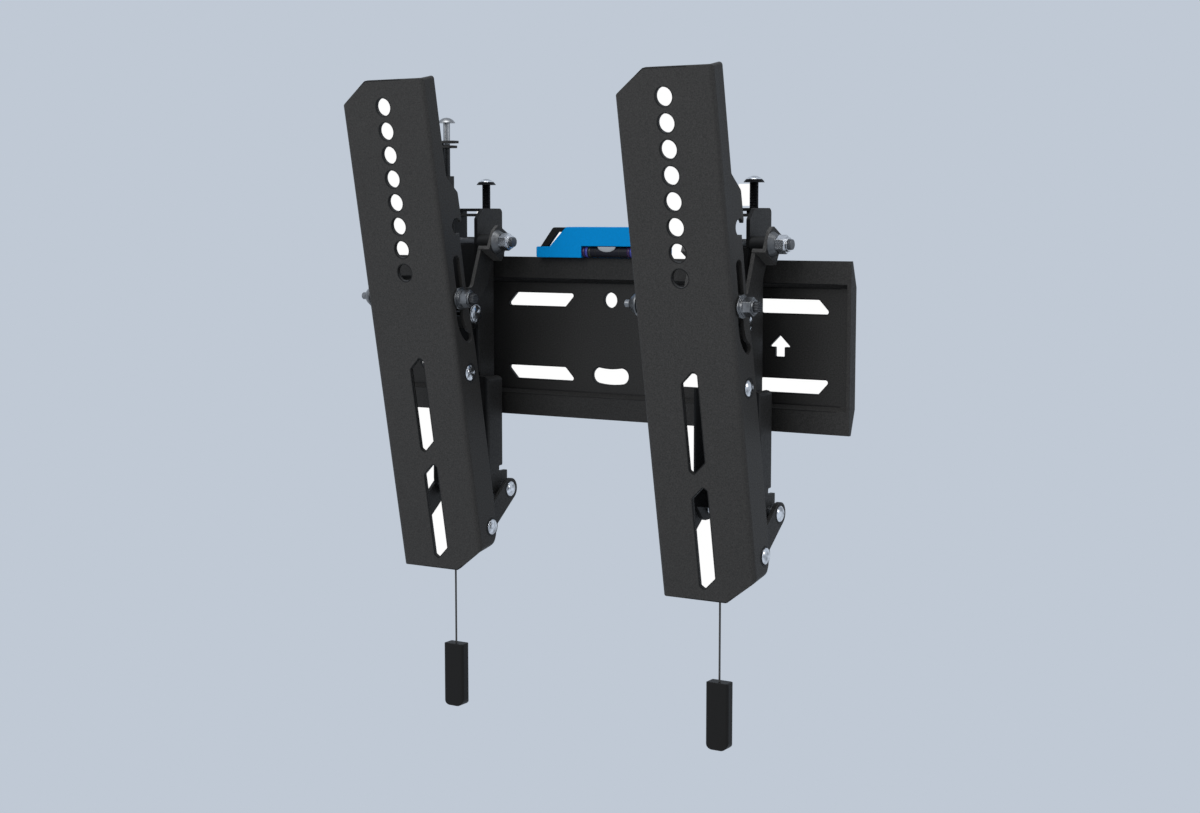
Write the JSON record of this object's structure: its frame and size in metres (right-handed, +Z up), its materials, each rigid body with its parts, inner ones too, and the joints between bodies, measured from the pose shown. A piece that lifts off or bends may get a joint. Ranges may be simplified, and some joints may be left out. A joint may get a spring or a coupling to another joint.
{
  "type": "tilting tv wall bracket",
  "caption": "Tilting wall bracket for a flat screen: slotted wall plate with a spirit level and hook-on upright arms that slide, level, tilt and latch, with pull cords.",
  "frame": {"origin": "centre of the wall plate's back face, on the wall, midway between its two rows of slots", "axes": "+X to the right along the wall plate, +Y into the wall, +Z up"},
  "size_m": [0.274, 0.0904, 0.3312],
  "materials": {
    "black_steel": "fine textured black powder coat",
    "zinc": "bright blue-white zinc plating",
    "black_zinc": "dark shaft under a bright head",
    "spring_steel": "plain drawn wire",
    "cord": "thin black cord",
    "handle": "satin moulded black",
    "level_blue": "bright blue moulding",
    "vial_glass": "dark blue liquid in a clear tube",
    "level_rubber": "soft black",
    "magnet": "flat magnet strip"
  },
  "bodies": {
    "plate": {"wall_plate": "black_steel", "level_body": "level_blue", "level_vial": "vial_glass", "level_magnets": "magnet", "level_loops": "level_rubber"},
    "screw_left": {"levelling_screw_left": "black_zinc"},
    "bracket_left": {"hook_bracket_left": "black_steel", "lower_channel_left": "black_steel", "lower_links_left": "black_steel", "link_bolt_left": "zinc", "link_bushes_left": "black_steel", "cone_washer_left": "zinc", "lock_nut_left": "zinc", "foot_rivets_left": "zinc", "hinge_rivets_left": "zinc", "stop_pin_left": "zinc", "guide_pins_left": "black_steel", "latch_spring_left": "spring_steel", "rod_guide_left": "black_steel", "nut_plate_left": "black_steel"},
    "links_left": {"upper_links_left": "black_steel", "tilt_axle_left": "zinc", "axle_bushes_left": "black_steel", "axle_washers_left": "zinc", "axle_nut_left": "zinc"},
    "arm_set_left": {"arm_left": "black_steel", "arm_rivets_left": "zinc"},
    "latch_set_left": {"latch_left": "black_steel", "release_rod_left": "zinc", "cord_ferrule_left": "zinc", "pull_cord_left": "cord", "pull_handle_left": "handle"},
    "screw_right": {"levelling_screw_right": "black_zinc"},
    "bracket_right": {"hook_bracket_right": "black_steel", "lower_channel_right": "black_steel", "lower_links_right": "black_steel", "link_bolt_right": "zinc", "link_bushes_right": "black_steel", "cone_washer_right": "zinc", "lock_nut_right": "zinc", "foot_rivets_right": "zinc", "hinge_rivets_right": "zinc", "stop_pin_right": "zinc", "guide_pins_right": "black_steel", "latch_spring_right": "spring_steel", "rod_guide_right": "black_steel", "nut_plate_right": "black_steel"},
    "links_right": {"upper_links_right": "black_steel", "tilt_axle_right": "zinc", "axle_bushes_right": "black_steel", "axle_washers_right": "zinc", "axle_nut_right": "zinc"},
    "arm_set_right": {"arm_right": "black_steel", "arm_rivets_right": "zinc"},
    "latch_set_right": {"latch_right": "black_steel", "release_rod_right": "zinc", "cord_ferrule_right": "zinc", "pull_cord_right": "cord", "pull_handle_right": "handle"}
  },
  "joints": [
    {"name": "spacing_slide_left", "type": "slide", "parent": "plate", "child": "screw_left", "axis": [1, 0, 0], "range_m": [-0.036, 0.026]},
    {"name": "levelling_lift_left", "type": "slide", "parent": "screw_left", "child": "bracket_left", "axis": [0, 0, 1], "range_m": [0, 0.004]},
    {"name": "tilt_left", "type": "hinge", "parent": "bracket_left", "child": "arm_set_left", "pos_m": [-0.08, -0.0331, -0.0992], "axis": [1, 0, 0], "range_deg": [-11, 1]},
    {"name": "link_swing_left", "type": "hinge", "parent": "bracket_left", "child": "links_left", "pos_m": [-0.08, -0.0222, 0.05], "axis": [1, 0, 0], "range_deg": [-3.7, 40.5]},
    {"name": "latch_pull_left", "type": "slide", "parent": "bracket_left", "child": "latch_set_left", "axis": [0, 0, 1], "range_m": [-0.009, 0], "stiffness_N_per_m": 300, "springref_m": 0.01, "deforming": ["latch_spring_left"]},
    {"name": "spacing_slide_right", "type": "slide", "parent": "plate", "child": "screw_right", "axis": [1, 0, 0], "range_m": [-0.026, 0.036]},
    {"name": "levelling_lift_right", "type": "slide", "parent": "screw_right", "child": "bracket_right", "axis": [0, 0, 1], "range_m": [0, 0.004]},
    {"name": "tilt_right", "type": "hinge", "parent": "bracket_right", "child": "arm_set_right", "pos_m": [0.08, -0.0331, -0.0992], "axis": [1, 0, 0], "range_deg": [-11, 1]},
    {"name": "link_swing_right", "type": "hinge", "parent": "bracket_right", "child": "links_right", "pos_m": [0.08, -0.0222, 0.05], "axis": [1, 0, 0], "range_deg": [-3.7, 40.5]},
    {"name": "latch_pull_right", "type": "slide", "parent": "bracket_right", "child": "latch_set_right", "axis": [0, 0, 1], "range_m": [-0.009, 0], "stiffness_N_per_m": 300, "springref_m": 0.01, "deforming": ["latch_spring_right"]}
  ],
  "couplings": [
    {"joint": "link_swing_left", "follows": "tilt_left", "ratio": -3.67},
    {"joint": "link_swing_right", "follows": "tilt_right", "ratio": -3.67}
  ]
}
